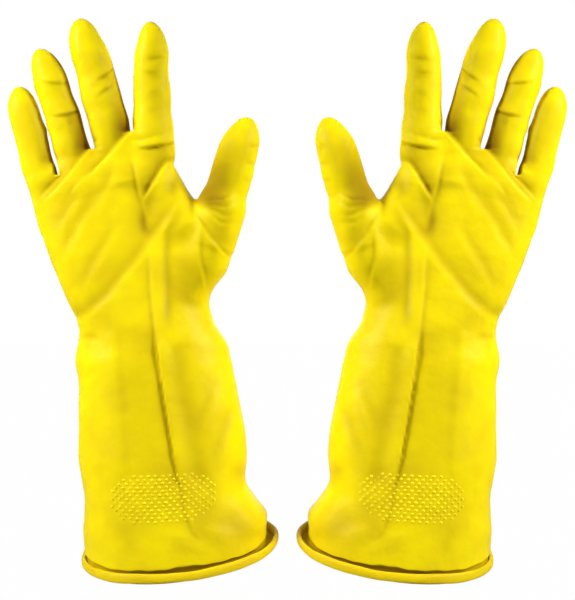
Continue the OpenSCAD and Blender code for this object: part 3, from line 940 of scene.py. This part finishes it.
def rubber_material(name, colour, shade, painted_shade_colour, rough=0.4):
    """Dipped latex: a little see-through and faintly clouded, with painted shade from the point attribute,
    which turns it browner and less shiny.
    """
    m, nodes, links, bsdf = new_material(name)
    place_node = nodes.new("ShaderNodeAttribute")
    place_node.attribute_name = "rest_mm"
    hollow = nodes.new("ShaderNodeAttribute")
    hollow.attribute_name = "hollow"
    clouds = nodes.new("ShaderNodeTexNoise")
    clouds.inputs["Scale"].default_value = 0.045
    clouds.inputs["Detail"].default_value = 4.0
    links.new(place_node.outputs["Vector"], clouds.inputs["Vector"])
    ramp_node = nodes.new("ShaderNodeMapRange")
    ramp_node.inputs["From Min"].default_value = 0.35
    ramp_node.inputs["From Max"].default_value = 0.7
    links.new(clouds.outputs["Fac"], ramp_node.inputs["Value"])
    mix = nodes.new("ShaderNodeMix")
    mix.data_type = "RGBA"
    mix.inputs["A"].default_value = (*colour, 1)
    mix.inputs["B"].default_value = (*shade, 1)
    links.new(ramp_node.outputs["Result"], mix.inputs["Factor"])
    # painted shade: the brown shade colour mixed in by the point attribute
    deep = nodes.new("ShaderNodeMix")
    deep.data_type = "RGBA"
    deep.inputs["B"].default_value = (*painted_shade_colour, 1)
    links.new(mix.outputs["Result"], deep.inputs["A"])
    links.new(hollow.outputs["Fac"], deep.inputs["Factor"])
    links.new(deep.outputs["Result"], bsdf.inputs["Base Color"])
    grain = nodes.new("ShaderNodeTexNoise")
    grain.inputs["Scale"].default_value = 1.6
    grain.inputs["Detail"].default_value = 3.0
    links.new(place_node.outputs["Vector"], grain.inputs["Vector"])
    soft = nodes.new("ShaderNodeTexNoise")
    soft.inputs["Scale"].default_value = 0.16
    soft.inputs["Detail"].default_value = 2.0
    links.new(place_node.outputs["Vector"], soft.inputs["Vector"])
    bump_soft = nodes.new("ShaderNodeBump")
    bump_soft.inputs["Strength"].default_value = 0.35
    bump_soft.inputs["Distance"].default_value = 0.0012
    links.new(soft.outputs["Fac"], bump_soft.inputs["Height"])
    bump = nodes.new("ShaderNodeBump")
    bump.inputs["Strength"].default_value = 0.12
    bump.inputs["Distance"].default_value = 0.0002
    links.new(grain.outputs["Fac"], bump.inputs["Height"])
    links.new(bump_soft.outputs["Normal"], bump.inputs["Normal"])
    links.new(bump.outputs["Normal"], bsdf.inputs["Normal"])
    rough_node = nodes.new("ShaderNodeMapRange")
    rough_node.inputs["To Min"].default_value = rough - 0.05
    rough_node.inputs["To Max"].default_value = rough + 0.1
    links.new(grain.outputs["Fac"], rough_node.inputs["Value"])
    links.new(rough_node.outputs["Result"], bsdf.inputs["Roughness"])
    bsdf.inputs["Subsurface Weight"].default_value = 0.1
    bsdf.inputs["Subsurface Radius"].default_value = (1.0, 0.55, 0.08)
    bsdf.inputs["Subsurface Scale"].default_value = 0.0022
    # less specular where shade is painted
    shine = nodes.new("ShaderNodeMapRange")
    shine.inputs["From Max"].default_value = 0.5
    shine.inputs["To Min"].default_value = 0.08
    shine.inputs["To Max"].default_value = 0.0
    links.new(hollow.outputs["Fac"], shine.inputs["Value"])
    links.new(shine.outputs["Result"], bsdf.inputs["Specular IOR Level"])
    return m


def flock_material():
    """Short cotton flock: matt and finely fuzzy."""
    m, nodes, links, bsdf = new_material("flock")
    place_node = nodes.new("ShaderNodeAttribute")
    place_node.attribute_name = "rest_mm"
    fuzz = nodes.new("ShaderNodeTexNoise")
    fuzz.inputs["Scale"].default_value = 2.6
    fuzz.inputs["Detail"].default_value = 5.0
    links.new(place_node.outputs["Vector"], fuzz.inputs["Vector"])
    mix = nodes.new("ShaderNodeMix")
    mix.data_type = "RGBA"
    mix.inputs["A"].default_value = (0.86, 0.76, 0.26, 1)
    mix.inputs["B"].default_value = (0.97, 0.92, 0.55, 1)
    links.new(fuzz.outputs["Fac"], mix.inputs["Factor"])
    links.new(mix.outputs["Result"], bsdf.inputs["Base Color"])
    bump = nodes.new("ShaderNodeBump")
    bump.inputs["Strength"].default_value = 0.6
    bump.inputs["Distance"].default_value = 0.0003
    links.new(fuzz.outputs["Fac"], bump.inputs["Height"])
    links.new(bump.outputs["Normal"], bsdf.inputs["Normal"])
    bsdf.inputs["Roughness"].default_value = 0.95
    bsdf.inputs["Sheen Weight"].default_value = 0.4
    bsdf.inputs["Specular IOR Level"].default_value = 0.1
    return m


# ---- Stage ----

AMBIENT = 0.2  # strength of the light from all round
KEY = 0.67  # watts of each side lamp; the other lamps are multiples of it
LENS = 120  # focal length in mm


def area_light(name, at, aim, size, watts):
    lamp = bpy.data.objects.new(name, bpy.data.lights.new(name, "AREA"))
    lamp.data.shape = "RECTANGLE"
    lamp.data.size, lamp.data.size_y = size
    lamp.data.energy = watts
    lamp.location = at
    lamp.rotation_euler = (Vector(aim) - Vector(at)).to_track_quat("-Z", "Y").to_euler()
    bpy.context.collection.objects.link(lamp)
    return lamp


def studio_world():
    """White behind the gloves, and a softer white for the light it gives."""
    world = bpy.data.worlds.new("studio")
    world.use_nodes = True
    nodes, links = world.node_tree.nodes, world.node_tree.links
    back = nodes["Background"]
    back.inputs["Color"].default_value = (1, 1, 1, 1)
    back.inputs["Strength"].default_value = AMBIENT
    seen = nodes.new("ShaderNodeBackground")
    seen.inputs["Color"].default_value = (1, 1, 1, 1)
    seen.inputs["Strength"].default_value = 1.0
    mix = nodes.new("ShaderNodeMixShader")
    path = nodes.new("ShaderNodeLightPath")
    links.new(path.outputs["Is Camera Ray"], mix.inputs["Fac"])
    links.new(back.outputs["Background"], mix.inputs[1])
    links.new(seen.outputs["Background"], mix.inputs[2])
    links.new(mix.outputs["Shader"], nodes["World Output"].inputs["Surface"])
    bpy.context.scene.world = world


def set_floor():
    z = cad_lo[2] - 0.0005
    mesh = bpy.data.meshes.new("floor")
    mesh.from_pydata([(-6, -6, z), (6, -6, z), (6, 6, z), (-6, 6, z)], [], [(0, 1, 2, 3)])
    floor = bpy.data.objects.new("floor", mesh)
    bpy.context.collection.objects.link(floor)
    m, nodes, links, bsdf = new_material("floor")
    bsdf.inputs["Base Color"].default_value = (0.5, 0.5, 0.5, 1)
    bsdf.inputs["Roughness"].default_value = 0.9
    pale = nodes.new("ShaderNodeEmission")
    pale.inputs["Color"].default_value = (0.995, 0.995, 0.995, 1)
    mix = nodes.new("ShaderNodeMixShader")
    path = nodes.new("ShaderNodeLightPath")
    links.new(path.outputs["Is Camera Ray"], mix.inputs["Fac"])
    links.new(bsdf.outputs["BSDF"], mix.inputs[1])
    links.new(pale.outputs["Emission"], mix.inputs[2])
    links.new(mix.outputs["Shader"], nodes["Material Output"].inputs["Surface"])
    mesh.materials.append(m)


def set_stage():
    set_floor()
    studio_world()
    half = MIRROR_X / MM
    for side, way in (("right", -1), ("left", 1)):
        aim = (half + way * half * 1.9, 0, 0.17)
        key = area_light(f"{side}_light", (half + way * 0.62, -0.27, 0.5), aim, (0.2, 0.3), KEY)
        key.data.spread = math.radians(53)
        back = (half + way * 0.35, 1.3, 0.55)
        area_light(f"{side}_back_light", back, (half, 0, 0.15), (0.7, 0.7), KEY * 6.0)
    area_light("front_light", (half, -1.5, 0.4), (half, 0, 0.15), (0.9, 0.5), KEY * 0.9)
    camera = bpy.data.objects.new("camera", bpy.data.cameras.new("camera"))
    bpy.context.collection.objects.link(camera)
    camera.location = (half, -VIEW_FROM / MM, VIEW_HEIGHT / MM)
    camera.rotation_euler = (math.pi / 2, 0, 0)
    camera.data.lens = LENS
    bpy.context.scene.camera = camera
    bpy.context.scene.view_settings.view_transform = "Standard"


def add_studs(name, verts, faces):
    """As add_piece, for faces with different numbers of corners."""
    made = []
    for side in ("right", "left"):
        v = np.array(verts, float)
        f = faces
        if side == "left":
            v = v * [-1, 1, 1] + [2 * MIRROR_X, 0, 0]
            f = [q[::-1] for q in faces]
        mesh = bpy.data.meshes.new(f"{side}_{name}")
        mesh.from_pydata((v / MM).tolist(), [], f)
        mesh.polygons.foreach_set("use_smooth", np.ones(len(mesh.polygons), bool))
        rest = mesh.attributes.new("rest_mm", "FLOAT_VECTOR", "POINT")
        rest.data.foreach_set("vector", np.array(verts, np.float32).ravel())
        obj = bpy.data.objects.new(f"{side}_{name}_skin", mesh)
        bpy.context.collection.objects.link(obj)
        made.append(obj)
    return made


def main():
    rubber = rubber_material(
        "yellow_rubber", (0.98, 0.775, 0.001), (0.86, 0.645, 0.004), (0.22, 0.108, 0.008))
    # painted shade: a darker copy of the yellow rubber for the rolled bead
    bead_rubber = rubber_material(
        "bead_rubber", (0.84, 0.63, 0.004), (0.77, 0.56, 0.006), (0.2, 0.105, 0.006), 0.46)
    # painted highlight: a lighter copy of the yellow rubber, so the studs look lit
    stud_rubber = rubber_material(
        "stud_rubber", (1.0, 0.84, 0.02), (0.95, 0.76, 0.01), (0.22, 0.108, 0.008), 0.36)
    flock = flock_material()
    verts, normals, done = build_gloves(rubber, flock)
    bend_pieces(done)
    bv, bf = bead_mesh()
    place(add_piece("rolled_bead", bv, bf), "rolled_bead", bead_rubber, "cuff")
    sv, sf = stud_mesh(verts, normals)
    place(add_studs("grip_studs", sv, sf), "grip_studs", stud_rubber, "cuff")
    set_stage()


main()
